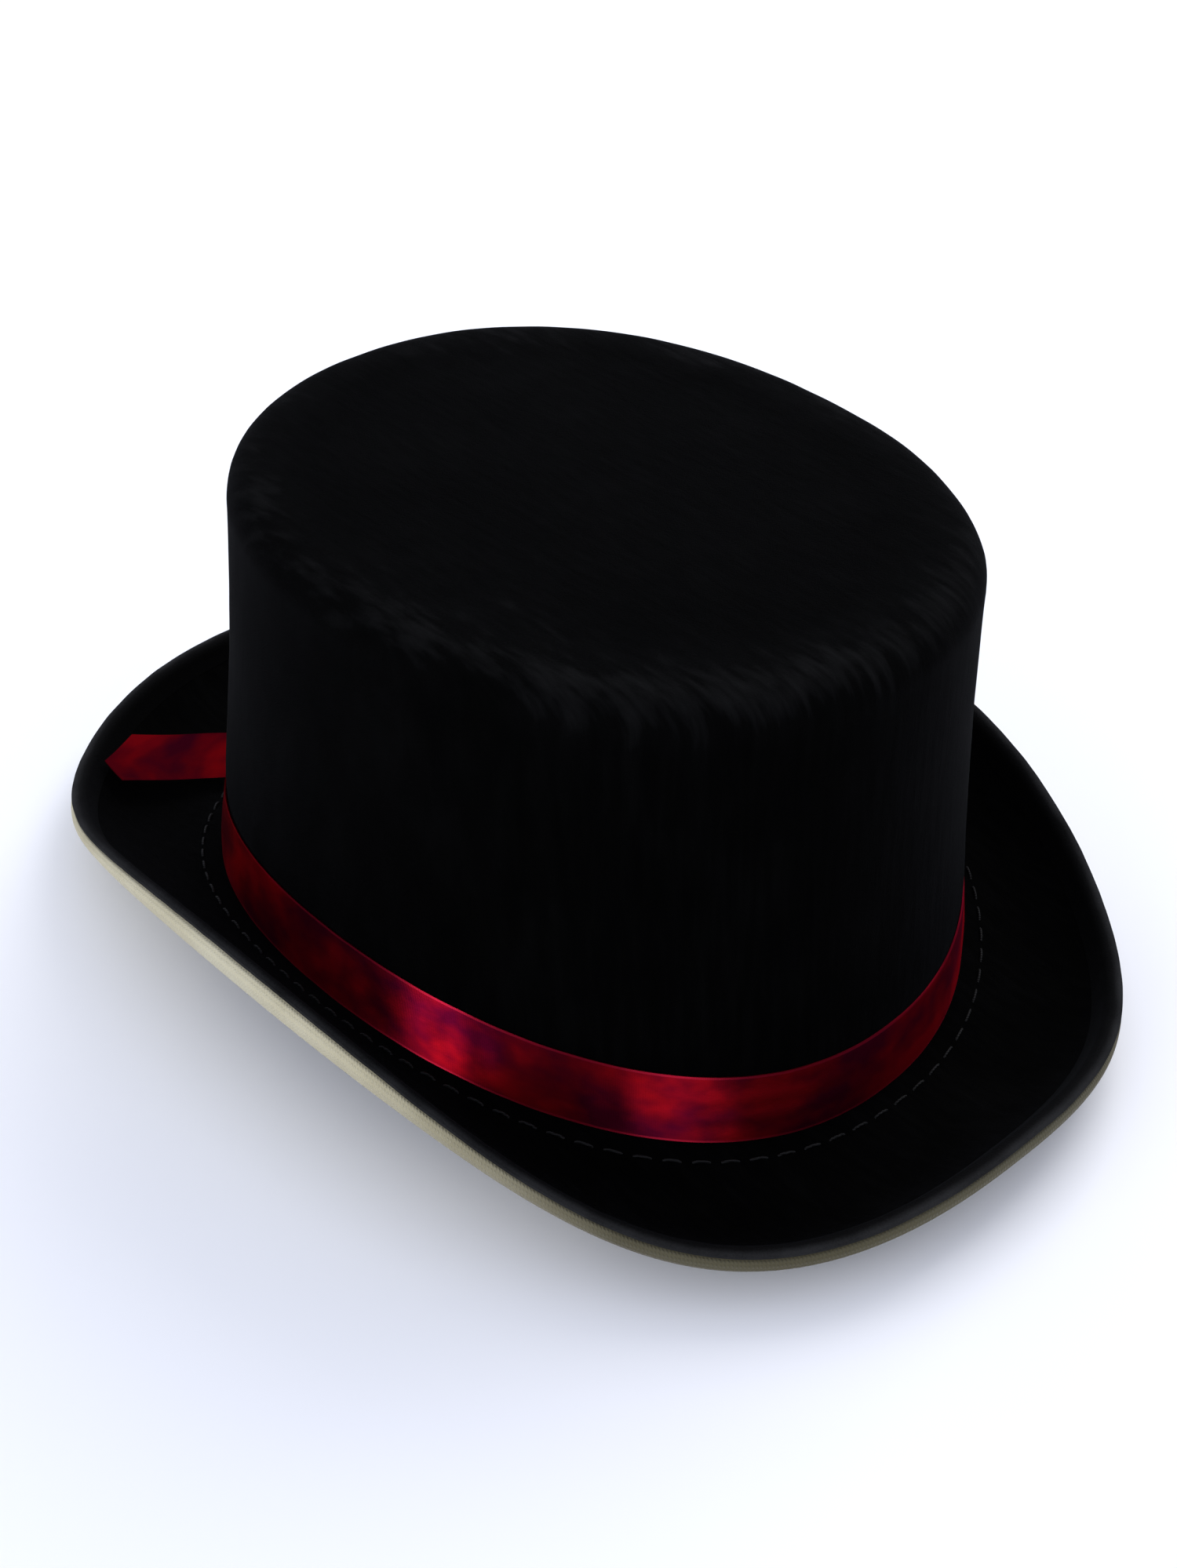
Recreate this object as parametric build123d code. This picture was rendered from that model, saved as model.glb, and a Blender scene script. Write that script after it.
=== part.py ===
from build123d import *
from math import atan2, cos, hypot, pi, radians, sin
import os

# Top hat with a satin band. Millimetres, +Z up, front towards -Y, wearer's left towards +X.
# The origin is under the middle of the hat, on the surface that it rests on.
# Ring-shaped pieces are lofted round the Z axis through upright sections. A section lies in the
# plane through the axis at a bearing in degrees from +X, and its points are (distance, height).

# --- crown, outside of its cloth cover ---
TIP_HALF_WIDTH = 82.7      # half-axes of the oval where the wall meets the shoulder
TIP_HALF_LENGTH = 99.0
FOOT_SPREAD = 7.7          # how much wider the foot of the wall is, on each side
SPREAD_POWER = 1.38        # 1 is a straight taper, more swings out at the foot
OVAL_POWER = 2.14          # 2 is an ellipse, more is squarer
CROWN_TOP = 134.4
SHOULDER_RADIUS = 8.2
WALL_LEVELS = (-30, 0, 15, 30, 45, 65, 85, 105)    # heights of the wall's rings
SHOULDER_TURNS = (15, 30, 45, 60, 75, 90)          # degrees round the shoulder

# --- brim, top face of its cloth cover ---
BREAK_HEIGHT = 15.1        # mean height of the line where crown and brim meet
BREAK_SADDLE = 8.0         # that line is higher at the sides, lower at front and back
RIM_HALF_WIDTH = 110.5
RIM_FRONT = 147.5
RIM_BACK = 155.4
RIM_POWER_FRONT = 2.48
RIM_POWER_BACK = 2.61
RIM_HEIGHT = 25.6          # mean height of the rim
RIM_SADDLE = 12.3
RIM_QUARTER_WAVE = 6.3     # the rim is lowest on the diagonals
RIM_TILT = -1.7
SLOPE_AT_BREAK = (-2.7, 8.3, 7.4)    # degrees: mean, twice-round and four-times-round parts
SLOPE_AT_RIM = (68.0, 9.7, 3.8)
BREAK_HANDLE = 0.30        # how far each end's slope reaches into the brim's curve
RIM_HANDLE = 0.40

# --- layers ---
FOAM = 3.0                 # crown wall and tip
BRIM_FOAM = 4.2
CLOTH = 1.0
GLUE = 0.05                # between glued layers
RING_WIDTH = 6.0           # headsize ring, under the joint of crown and brim
RING_THICKNESS = 1.0
OPENING_LIP = 2.0          # flat lip of the brim's layers round the crown's wall
BINDING_REACH = 5.0        # how far the edge binding comes in over the top of the brim
BINDING_END = 10.0         # degrees above the rim's outermost line, where the binding stops
BINDING_GAP = 0.004        # between cover and binding, as a share of the brim's curve

# --- rim wire ---
WIRE_RADIUS = 0.9
WIRE_END_GAP = 0.3         # degrees
SLEEVE_RADIUS = 1.35
SLEEVE_BEARING = 128.0
SLEEVE_HALF_SPAN = 4.0     # degrees round the rim

# --- stitches ---
HEADLINE_OFFSET = 5.6      # outside the crown's wall
HEADLINE_STITCHES = 96
SWEAT_STITCHES = 84
STITCH_DUTY = 0.62         # how much of the pitch is thread
THREAD_RADIUS = 0.3

# --- band, knot and tails ---
BAND_WIDTH = 20.0
BAND_RISE = 0.4            # lower edge above the break
RIBBON = 0.6               # thickness
RIBBON_GAP = 0.15
BAND_FACE = RIBBON_GAP + RIBBON
KNOT_BEARING = 90.0
KNOT_HALF_SPAN = 4.6       # degrees
KNOT_HEIGHT = 21.0
KNOT_THICKNESS = 3.6
LEAD_START = 0.2           # degrees clear of the knot
LEAD_REACH = 5.5           # degrees past the fold
LEAD_LOW = 4.0             # heights above the break where a lead comes out of the knot
LEAD_HIGH = 17.5
LEAD_FALL = 2.5            # how much sooner the lower edge comes down than the upper
LEAD_END_HEIGHT = 2.5
LEAD_RISE = 0.4            # lowest edge above the band's
TAIL_HALF_WIDTH = 10.0
TAIL_POINT = 6.5           # length of the pointed end
TAIL_LIFT = 1.0            # clear of the stitches on the brim's cloth
TAIL_SPAN = (-4.0, 56.0)   # degrees from the knot between which the ribbon's sheet is made
FOLD_CLEARANCE = 2.0       # from the wall to a tail's root
# side: (bearing of the fold at the wall's foot, heading over the brim, length)
TAILS = {"right": (107.5, 145.0, 46.5), "left": (73.5, 38.0, 45.0)}

# --- sweatband ---
SWEAT_BOTTOM = -4.0        # from the break
SWEAT_TOP = 28.0
SWEAT_THICKNESS = 0.9
SWEAT_GAP = 0.25
SWEAT_SEAM = 2.5           # stitches above the lower edge
TAPE_BOTTOM = 4.5          # above the sweatband's lower edge
TAPE_TOP = 1.0             # below its upper edge
TAPE_HALF_SPAN = 3.6       # degrees
SWEAT_FACE = -(CLOTH + GLUE + FOAM + SWEAT_GAP + SWEAT_THICKNESS)

# --- lofts ---
SECTION_STEP = 15          # degrees between sections of a ring
FINE_STEP = 2              # between sections of a narrow piece
TAIL_STEP = 6
ROD_STEP = 5
RING_POINTS = 24
BIG = 1000.0
SKIRT = (30, 180, -60)     # inner radius, outer radius and lower height of the trimming ring

BRIM_TOTAL = CLOTH + GLUE + BRIM_FOAM
RIM_ROUND = (BRIM_TOTAL + GLUE + CLOTH) / 2    # outer radius of the bound rim
FOAM_ROUND = RIM_ROUND - GLUE - CLOTH
SHOULDER_HEIGHT = CROWN_TOP - SHOULDER_RADIUS


# ---------------------------------------------------------------- shape of the hat

def oval(bearing, half_width, half_front, half_back, power):
    """Radius of a squared oval at a bearing, and the oval's own angle there in radians."""
    across, along = cos(radians(bearing)), sin(radians(bearing))
    half_length = half_front if along < 0 else half_back
    x_part = (abs(across) / half_width) ** power
    y_part = (abs(along) / half_length) ** power
    radius = (x_part + y_part) ** (-1 / power)
    own_angle = atan2(y_part ** 0.5, x_part ** 0.5)
    own_angle = own_angle if across >= 0 else pi - own_angle
    return radius, own_angle if along >= 0 else -own_angle


def waves(parts, own_angle):
    mean, twice, four_times = parts
    return mean + twice * cos(2 * own_angle) + four_times * cos(4 * own_angle)


def break_height(bearing):
    """Height of the line where the crown's wall meets the brim's top."""
    own_angle = oval(bearing, TIP_HALF_WIDTH, TIP_HALF_LENGTH, TIP_HALF_LENGTH, OVAL_POWER)[1]
    return BREAK_HEIGHT + BREAK_SADDLE * cos(2 * own_angle)


def wall_radius(bearing, height, inset=0.0):
    """Radius of the crown's cloth face, less an inset, at a height."""
    base = break_height(bearing)
    rise = min(1.0, (height - base) / (SHOULDER_HEIGHT - base))
    spread = FOOT_SPREAD * (1 - rise) ** SPREAD_POWER
    half_width, half_length = TIP_HALF_WIDTH + spread, TIP_HALF_LENGTH + spread
    return oval(bearing, half_width, half_length, half_length, OVAL_POWER)[0] - inset


def wall_point(bearing, above_break, inset=0.0):
    height = break_height(bearing) + above_break
    return wall_radius(bearing, height, inset), height


def brim_controls(bearing):
    """Four control points of the brim's top line at a bearing, from the break to the rim."""
    start = wall_point(bearing, 0)
    power = RIM_POWER_FRONT if sin(radians(bearing)) < 0 else RIM_POWER_BACK
    radius, own_angle = oval(bearing, RIM_HALF_WIDTH, RIM_FRONT, RIM_BACK, power)
    height = waves((RIM_HEIGHT, RIM_SADDLE, RIM_QUARTER_WAVE), own_angle)
    end = (radius, height + RIM_TILT * sin(own_angle))
    length = hypot(end[0] - start[0], end[1] - start[1])
    at_break = radians(waves(SLOPE_AT_BREAK, own_angle))
    at_rim = radians(waves(SLOPE_AT_RIM, own_angle))
    return (start, along(start, at_break, BREAK_HANDLE * length),
            along(end, at_rim, -RIM_HANDLE * length), end)


def along(point, angle, distance):
    return point[0] + distance * cos(angle), point[1] + distance * sin(angle)


def brim_point(bearing, t, depth=0.0):
    """Point a depth under the brim's top line, and the line's slope; t runs 0 to 1."""
    p = brim_controls(bearing)
    weights = ((1 - t) ** 3, 3 * t * (1 - t) ** 2, 3 * t * t * (1 - t), t ** 3)
    s, z = (sum(w * q[i] for w, q in zip(weights, p)) for i in (0, 1))
    rates = ((1 - t) ** 2, 2 * t * (1 - t), t * t)
    ds, dz = (sum(w * (p[k + 1][i] - p[k][i]) for k, w in enumerate(rates)) for i in (0, 1))
    slope = atan2(dz, ds)
    return (s + depth * sin(slope), z - depth * cos(slope)), slope


def brim_line(bearing, depth, t0, t1, count=6):
    return [brim_point(bearing, t0 + (t1 - t0) * k / (count - 1), depth)[0] for k in range(count)]


def t_from_break(bearing, distance):
    p = brim_controls(bearing)
    return distance / (3 * hypot(p[1][0] - p[0][0], p[1][1] - p[0][1]))


def t_from_rim(bearing, distance):
    p = brim_controls(bearing)
    return 1 - distance / (3 * hypot(p[3][0] - p[2][0], p[3][1] - p[2][1]))


# ---------------------------------------------------------------- sections and lofts

def spot(bearing, point):
    s, z = point
    return Vector(s * cos(radians(bearing)), s * sin(radians(bearing)), z)


def section(bearing, *runs):
    """Closed wire from runs of points: 2 make a line, 3 an arc, more a spline."""
    edges = []
    for run in runs:
        points = [spot(bearing, p) for p in run]
        if len(points) == 2:
            edges.append(Edge.make_line(*points))
        elif len(points) == 3:
            edges.append(Edge.make_three_point_arc(*points))
        else:
            even = [k / (len(points) - 1) for k in range(len(points))]
            edges.append(Edge.make_spline(points, parameters=even))
    return Wire(edges)


def polygon(bearing, points):
    return section(bearing, *zip(points, points[1:] + points[:1]))


def loft_through(profile, first, last, step):
    count = max(1, round((last - first) / step))
    return Solid.make_loft([profile(first + (last - first) * k / count) for k in range(count + 1)])


def ring(profile):
    """Whole ring: the +X half is lofted a little past the middle, trimmed there and mirrored."""
    past = loft_through(profile, -90 - SECTION_STEP, 90 + SECTION_STEP, SECTION_STEP)
    half = (past & Pos(BIG / 2, 0, 0) * Box(BIG, BIG, BIG)).solids()[0]
    return half + half.mirror(Plane.YZ)


def skirt(depth):
    """Everything in a wide ring below the break line lowered by a depth."""
    def profile(bearing):
        height = break_height(bearing) - depth
        inner, outer, low = SKIRT
        return polygon(bearing, [(inner, low), (outer, low), (outer, height), (inner, height)])
    return ring(profile)


def row(count, radius_and_height, radius):
    """Row of separate stitches, each a short round bar laid along the row."""
    solids = []
    pitch = 360 / count
    for k in range(count):
        first = spot(k * pitch, radius_and_height(k * pitch))
        last = spot((k + STITCH_DUTY) * pitch, radius_and_height((k + STITCH_DUTY) * pitch))
        plane = Plane(origin=first, z_dir=last - first)
        solids.append(extrude(plane * Circle(radius), (last - first).length))
    return Compound([s.solids()[0] for s in solids])


# ---------------------------------------------------------------- crown

def crown_form(inset):
    """Solid crown whose faces lie an inset inside the cloth's outer face."""
    radius = SHOULDER_RADIUS - inset
    levels = [(height, 0) for height in (*WALL_LEVELS, SHOULDER_HEIGHT)]
    for angle in SHOULDER_TURNS:
        step_in = radius * (1 - cos(radians(angle)))
        levels.append((SHOULDER_HEIGHT + radius * sin(radians(angle)), step_in))
    wires = []
    for height, step_in in levels:
        bearings = [360 * k / RING_POINTS for k in range(RING_POINTS)]
        points = [spot(b, (wall_radius(b, height, inset + step_in), height)) for b in bearings]
        even = [k / RING_POINTS for k in range(RING_POINTS + 1)]
        wires.append(Wire([Edge.make_spline(points, parameters=even, periodic=True)]))
    return Solid.make_loft(wires, ruled=True)


def crown_cover():
    return crown_form(0) - crown_form(CLOTH) - skirt(-GLUE)


def crown_foam():
    return crown_form(CLOTH + GLUE) - crown_form(CLOTH + GLUE + FOAM)


def above_shoulder():
    return Pos(0, 0, SHOULDER_HEIGHT + BIG / 2) * Box(BIG, BIG, BIG)


def crown_tip():
    """Oval top of the crown, with its rounded shoulder."""
    return crown_foam() & above_shoulder()


def crown_wall():
    """Side of the crown, from the shoulder down through the brim's opening."""
    return crown_foam() - above_shoulder() - skirt(BRIM_TOTAL)


def headsize_ring():
    """Flat ring under the brim that the wall's foot and the brim are both sewn to."""
    def profile(bearing):
        under = BRIM_TOTAL + GLUE
        neck = (wall_radius(bearing, break_height(bearing) - under, CLOTH + GLUE + FOAM / 2),
                break_height(bearing) - under)
        turns = [t_from_break(bearing, reach) for reach in (OPENING_LIP, RING_WIDTH)]
        top = [neck] + [brim_point(bearing, t, under)[0] for t in turns]
        low = [brim_point(bearing, t, under + RING_THICKNESS)[0] for t in reversed(turns)]
        return polygon(bearing, top + low + [(neck[0], neck[1] - RING_THICKNESS)])
    return ring(profile)


# ---------------------------------------------------------------- brim

def inner_edge(bearing, depth):
    """Point on the edge of the brim's opening, which the crown's wall fills."""
    return wall_point(bearing, -depth, CLOTH)


def rim_end(bearing):
    """Parameter where the rim's rounding starts."""
    return t_from_rim(bearing, RIM_ROUND)


def rim_arc(bearing, radius, last=-90.0):
    """Round of the rim from its top side to a last angle off its outermost line, as three points."""
    centre, slope = brim_point(bearing, rim_end(bearing), RIM_ROUND)
    turns = (90.0, (90.0 + last) / 2, last)
    return [along(centre, slope + radians(turn), radius) for turn in turns]


def brim_board_section(bearing):
    top, under = CLOTH + GLUE, BRIM_TOTAL
    arc = rim_arc(bearing, FOAM_ROUND)
    first = t_from_break(bearing, OPENING_LIP)
    upper = brim_line(bearing, top, first, rim_end(bearing))
    lower = brim_line(bearing, under, rim_end(bearing), first)
    upper[-1], lower[0] = arc[0], arc[2]
    high, low = inner_edge(bearing, top), inner_edge(bearing, under)
    return section(bearing, (high, upper[0]), upper, arc, lower, (lower[-1], low), (low, high))


def rim_rod(first, last, radius):
    """Round rod along the middle of the rim between two bearings."""
    count = max(5, round((last - first) / ROD_STEP))
    points = []
    for k in range(count + 1):
        bearing = first + (last - first) * k / count
        points.append(spot(bearing, brim_point(bearing, rim_end(bearing), RIM_ROUND)[0]))
    path = Edge.make_spline(points)
    return sweep(Plane(origin=path @ 0, z_dir=path % 0) * Circle(radius), path).solids()[0]


def rim_wire():
    """The wire's two ends meet inside the sleeve."""
    return rim_rod(SLEEVE_BEARING + WIRE_END_GAP, SLEEVE_BEARING + 360 - WIRE_END_GAP, WIRE_RADIUS)


def wire_sleeve():
    first, last = SLEEVE_BEARING - SLEEVE_HALF_SPAN, SLEEVE_BEARING + SLEEVE_HALF_SPAN
    bore = rim_rod(first - 1, last + 1, WIRE_RADIUS + GLUE)
    return rim_rod(first, last, SLEEVE_RADIUS) - bore


def binding_start(bearing):
    return t_from_rim(bearing, RIM_ROUND + BINDING_REACH)


def brim_cover_section(bearing):
    first, end = t_from_break(bearing, OPENING_LIP), binding_start(bearing) - BINDING_GAP
    upper = brim_line(bearing, 0, first, end)
    lower = brim_line(bearing, CLOTH, end, first)
    high, low = inner_edge(bearing, 0), inner_edge(bearing, CLOTH)
    return section(bearing, (high, upper[0]), upper, (upper[-1], lower[0]), lower,
                   (lower[-1], low), (low, high))


def edge_binding_section(bearing):
    outer_arc = rim_arc(bearing, RIM_ROUND, BINDING_END)
    inner_arc = rim_arc(bearing, RIM_ROUND - CLOTH, BINDING_END)
    upper = brim_line(bearing, 0, binding_start(bearing), rim_end(bearing), 4)
    lower = brim_line(bearing, CLOTH, rim_end(bearing), binding_start(bearing), 4)
    upper[-1], lower[0] = outer_arc[0], inner_arc[0]
    return section(bearing, upper, outer_arc, (outer_arc[2], inner_arc[2]), inner_arc[::-1],
                   lower, (lower[-1], upper[0]))


def headline_stitches():
    def place(bearing):
        t = t_from_break(bearing, HEADLINE_OFFSET)
        return brim_point(bearing, t, -GLUE - THREAD_RADIUS)[0]
    return row(HEADLINE_STITCHES, place, THREAD_RADIUS)


# ---------------------------------------------------------------- band, knot and tails

def strip(bearing, low, high, outset, thickness):
    """Upright strip against the crown's wall, between two heights above the break."""
    heights = [low + (high - low) * k / 3 for k in range(4)]
    inner = [wall_point(bearing, h, -outset) for h in heights]
    outer = [wall_point(bearing, h, -outset - thickness) for h in reversed(heights)]
    return section(bearing, inner, (inner[-1], outer[0]), outer, (outer[-1], inner[0]))


def hat_band():
    return ring(lambda b: strip(b, BAND_RISE, BAND_RISE + BAND_WIDTH, RIBBON_GAP, RIBBON))


def band_knot():
    def profile(bearing):
        return strip(bearing, BAND_RISE, KNOT_HEIGHT, BAND_FACE + RIBBON_GAP, KNOT_THICKNESS)
    block = loft_through(profile, KNOT_BEARING - KNOT_HALF_SPAN, KNOT_BEARING + KNOT_HALF_SPAN,
                         FINE_STEP)
    return fillet(block.edges(), KNOT_THICKNESS / 3)


def lead(side):
    """Stretch of ribbon that slants down the wall from the knot to its tail's fold."""
    fold = TAILS[side][0]
    away = 1 if fold > KNOT_BEARING else -1
    first = KNOT_BEARING + away * (KNOT_HALF_SPAN + LEAD_START)
    last = fold + away * LEAD_REACH

    def profile(bearing):
        done = (bearing - first) / (last - first)
        high = LEAD_HIGH + (BAND_RISE + LEAD_END_HEIGHT - LEAD_HIGH) * done
        low = max(BAND_RISE + LEAD_RISE, LEAD_LOW * (1 - LEAD_FALL * done))
        return strip(bearing, low, high, BAND_FACE + RIBBON_GAP, RIBBON)

    return loft_through(profile, min(first, last), max(first, last), FINE_STEP)


def fold_frame(side):
    """Foot of the wall at the fold, with the wall's tangent there, away from the knot."""
    fold = TAILS[side][0]
    before, foot, after = (spot(fold + d, wall_point(fold + d, 0)) for d in (-1, 0, 1))
    tangent = Vector(after.X - before.X, after.Y - before.Y, 0).normalized()
    outward = Vector(tangent.Y, -tangent.X, 0)
    return foot + outward * FOLD_CLEARANCE, tangent, outward


def tail(side):
    """Flat ribbon from its fold to its pointed end, curved as the brim under it."""
    fold, heading, length = TAILS[side]
    root, tangent, outward = fold_frame(side)
    axis = Vector(cos(radians(heading)), sin(radians(heading)), 0)
    across = Vector(-axis.Y, axis.X, 0)
    outline = []
    for offset in (-TAIL_HALF_WIDTH, TAIL_HALF_WIDTH):
        back = -offset * across.dot(outward) / axis.dot(outward)
        outline.append(root + across * offset + axis * back)
    outline.append(root + across * TAIL_HALF_WIDTH + axis * (length - TAIL_POINT))
    outline.append(root + axis * length)
    outline.append(root - across * TAIL_HALF_WIDTH + axis * (length - TAIL_POINT))
    flat = [Vector(p.X, p.Y, -BIG / 4) for p in outline]
    prism = extrude(Face(Wire.make_polygon(flat, close=True)), BIG / 2, dir=(0, 0, 1))

    def sheet(bearing):
        top = brim_line(bearing, -TAIL_LIFT - RIBBON, 0, rim_end(bearing))
        under = brim_line(bearing, -TAIL_LIFT, rim_end(bearing), 0)
        return section(bearing, top, (top[-1], under[0]), under, (under[-1], top[0]))

    away = 1 if fold > KNOT_BEARING else -1
    ends = sorted(KNOT_BEARING + away * turn for turn in TAIL_SPAN)
    return (loft_through(sheet, *ends, TAIL_STEP) & prism).solids()[0]


# ---------------------------------------------------------------- sweatband

def sweatband():
    return ring(lambda b: strip(b, SWEAT_BOTTOM, SWEAT_TOP, SWEAT_FACE, SWEAT_THICKNESS))


def sweatband_stitches():
    def place(bearing):
        inset = -SWEAT_FACE + GLUE + THREAD_RADIUS
        return wall_point(bearing, SWEAT_BOTTOM + SWEAT_SEAM, inset)
    return row(SWEAT_STITCHES, place, THREAD_RADIUS)


def sweatband_tape():
    def profile(bearing):
        face = SWEAT_FACE - GLUE - SWEAT_THICKNESS
        low, high = SWEAT_BOTTOM + TAPE_BOTTOM, SWEAT_TOP - TAPE_TOP
        return strip(bearing, low, high, face, SWEAT_THICKNESS)
    return loft_through(profile, 90 - TAPE_HALF_SPAN, 90 + TAPE_HALF_SPAN, FINE_STEP)


# ---------------------------------------------------------------- the whole hat

def whole_hat():
    pieces = {
        "crown_wall": crown_wall(),
        "crown_tip": crown_tip(),
        "headsize_ring": headsize_ring(),
        "crown_cover": crown_cover(),
        "brim_board": ring(brim_board_section),
        "brim_cover": ring(brim_cover_section),
        "edge_binding": ring(edge_binding_section),
        "rim_wire": rim_wire(),
        "wire_sleeve": wire_sleeve(),
        "headline_stitches": headline_stitches(),
        "hat_band": hat_band(),
        "band_knot": band_knot(),
        "sweatband": sweatband(),
        "sweatband_stitches": sweatband_stitches(),
        "sweatband_tape": sweatband_tape(),
    }
    for side in TAILS:
        pieces["lead_" + side] = lead(side)
        pieces["tail_" + side] = tail(side)
    return pieces


def main():
    os.makedirs("parts", exist_ok=True)
    pieces = whole_hat()
    boxes = [piece.bounding_box() for piece in pieces.values()]
    middle_x = (min(b.min.X for b in boxes) + max(b.max.X for b in boxes)) / 2
    middle_y = (min(b.min.Y for b in boxes) + max(b.max.Y for b in boxes)) / 2
    to_origin = Pos(-middle_x, -middle_y, -min(b.min.Z for b in boxes))
    print("moved by", to_origin.position)
    for name, piece in pieces.items():
        export_step(to_origin * piece, f"parts/{name}.step")
    for side in TAILS:
        root, tangent, outward = fold_frame(side)
        print("fold", side, root + to_origin.position, "tangent", tangent)


main()
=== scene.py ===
from math import atan2, cos, exp, hypot, pi, radians, sin

import bmesh
import bpy
import numpy as np
from mathutils import Matrix, Vector, noise


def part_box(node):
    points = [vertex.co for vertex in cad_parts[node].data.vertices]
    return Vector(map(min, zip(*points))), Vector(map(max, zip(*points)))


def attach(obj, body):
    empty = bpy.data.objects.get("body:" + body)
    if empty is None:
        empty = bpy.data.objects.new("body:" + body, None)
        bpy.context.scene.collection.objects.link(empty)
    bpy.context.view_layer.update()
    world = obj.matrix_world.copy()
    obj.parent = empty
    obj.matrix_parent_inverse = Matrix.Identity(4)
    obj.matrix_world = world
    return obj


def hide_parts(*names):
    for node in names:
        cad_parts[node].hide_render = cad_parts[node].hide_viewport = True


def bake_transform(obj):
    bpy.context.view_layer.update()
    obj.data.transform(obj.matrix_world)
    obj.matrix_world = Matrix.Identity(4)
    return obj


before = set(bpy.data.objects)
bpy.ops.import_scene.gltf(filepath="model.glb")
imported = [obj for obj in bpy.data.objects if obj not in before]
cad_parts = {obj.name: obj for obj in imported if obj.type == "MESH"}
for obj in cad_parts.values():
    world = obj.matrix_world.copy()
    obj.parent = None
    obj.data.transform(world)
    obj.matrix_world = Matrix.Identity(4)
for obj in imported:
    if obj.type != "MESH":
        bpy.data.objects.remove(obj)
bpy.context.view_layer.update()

# Top hat with a satin band. The shape is worked out in millimetres about the crown's middle:
# a point is (distance, height) in the upright plane at a bearing in degrees from +X, and the
# front is at -90. Lengths are in millimetres up to spot(), which gives Blender's metres.
MM = 0.001

# --- where the CAD model is ---
crown_low, crown_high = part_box("crown_cover")
MIDDLE_X = (crown_low[0] + crown_high[0]) / 2
MIDDLE_Y = (crown_low[1] + crown_high[1]) / 2
CROWN_TOP = crown_high[2] / MM
LIFT = CROWN_TOP - 134.4            # from the drawing's heights to the frame's

# --- crown ---
TIP_HALF_WIDTH = 82.7
TIP_HALF_LENGTH = 99.0
SHOULDER_RADIUS = 8.2
FOOT_SPREAD = 7.7          # how much further out the wall's foot is than its top
SPREAD_POWER = 1.38
OVAL_POWER = 2.14
PILE = 0.45                # the pile stands proud of the cloth
PILE_PRESSED = 4.0         # over this height above the ribbon it rises from nothing
RIDGE_HEIGHT = 0.35        # soft ridge that the cloth makes just inside the shoulder
RIDGE_IN = 6.0
RIDGE_WIDTH = 5.0
TIP_HOLLOW = 0.3           # the tip's middle lies this much below its edge
SWELL_WIDE = (0.30, 34)    # (height, size) of the cover's wide and small unevenness
SWELL_SMALL = (0.10, 9)

# --- brim ---
BREAK_HEIGHT = 15.1 + LIFT           # the break is the line where the wall meets the brim
BREAK_SADDLE = 8.0
RIM_HALF_WIDTH = 110.5
RIM_FRONT = 147.5
RIM_BACK = 155.4
RIM_POWER_FRONT = 2.48
RIM_POWER_BACK = 2.61
RIM_HEIGHT = 25.6 + LIFT
RIM_SADDLE = 12.3
RIM_QUARTER_WAVE = 6.3
RIM_TILT = -1.7
SLOPE_AT_BREAK = (-2.7, 8.3, 7.4)    # degrees: mean, twice and four times round
SLOPE_AT_RIM = (68.0, 9.7, 3.8)
BREAK_HANDLE = 0.30
RIM_HANDLE = 0.40
TUCK = 0.5                 # the brim's cloth ends this far under the binding's edge
BRIM_SWELL = 0.22
RIM_NAP = 0.7              # the binding's pile stands proud round the rim
RIM_NAP_VARIES = 0.12
BINDING_WAVE = 2.5         # degrees that the binding's lower edge wanders round the rim

# --- layers ---
FOAM = 3.0
BRIM_FOAM = 4.2
CLOTH = 1.0
GLUE = 0.05
RING_WIDTH = 6.0
RING_THICKNESS = 1.0
OPENING_LIP = 2.0
BINDING_REACH = 5.0        # from the rim's round, over the brim's top
BINDING_END = 10.0         # degrees round the rim where it ends, 90 being the top
BRIM_TOTAL = CLOTH + GLUE + BRIM_FOAM
RIM_ROUND = (BRIM_TOTAL + GLUE + CLOTH) / 2
FOAM_ROUND = RIM_ROUND - GLUE - CLOTH
SHOULDER_HEIGHT = CROWN_TOP - SHOULDER_RADIUS

# --- ribbon ---
BAND_WIDTH = 20.0
BAND_RISE = 0.4
RIBBON = 0.35              # thickness
BAND_OUT = 0.75            # from the wall's face to the ribbon's, at its edges
BAND_BULGE = 0.9           # and further out at its middle, times its slack
BAND_CREASE = 0.16
CREASE_BEARING = 250
CREASE_SPREAD = 14
EDGE_WANDER = 0.12
KNOT_BEARING = 90.0
KNOT_HALF_SPAN = 4.6
KNOT_HEIGHT = 21.0
KNOT_THICKNESS = 3.6
KNOT_FOLD = 0.42
KNOT_WAIST = 0.10
TAIL_HALF_WIDTH = 10.0
TAIL_POINT = 6.5
TAIL_SLANT = 1.2
TAIL_LIFT = 0.9            # least height over the brim
TAIL_STAND = 3.7           # the stiff ribbon spans the brim's hollow, this far above its fold
TAIL_RISE = 0.6
TAIL_CUP = 1.4
TAIL_TWIST = 0.9
FOLD_CLEARANCE = 2.0
LEAD_MIDDLE = 10.6         # height at the knot of the lead's middle line
LEAD_SPREAD = 5.6
LEAD_FOOT = 2.2
LEAD_OUT = 1.0
LEAD_BOW = 0.9
LEAD_GATHER = 0.35
# side: (bearing of the fold at the wall's foot, heading over the brim, length)
TAILS = {"right": (107.5, 144.0, 46.0), "left": (73.5, 38.0, 45.0)}

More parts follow.
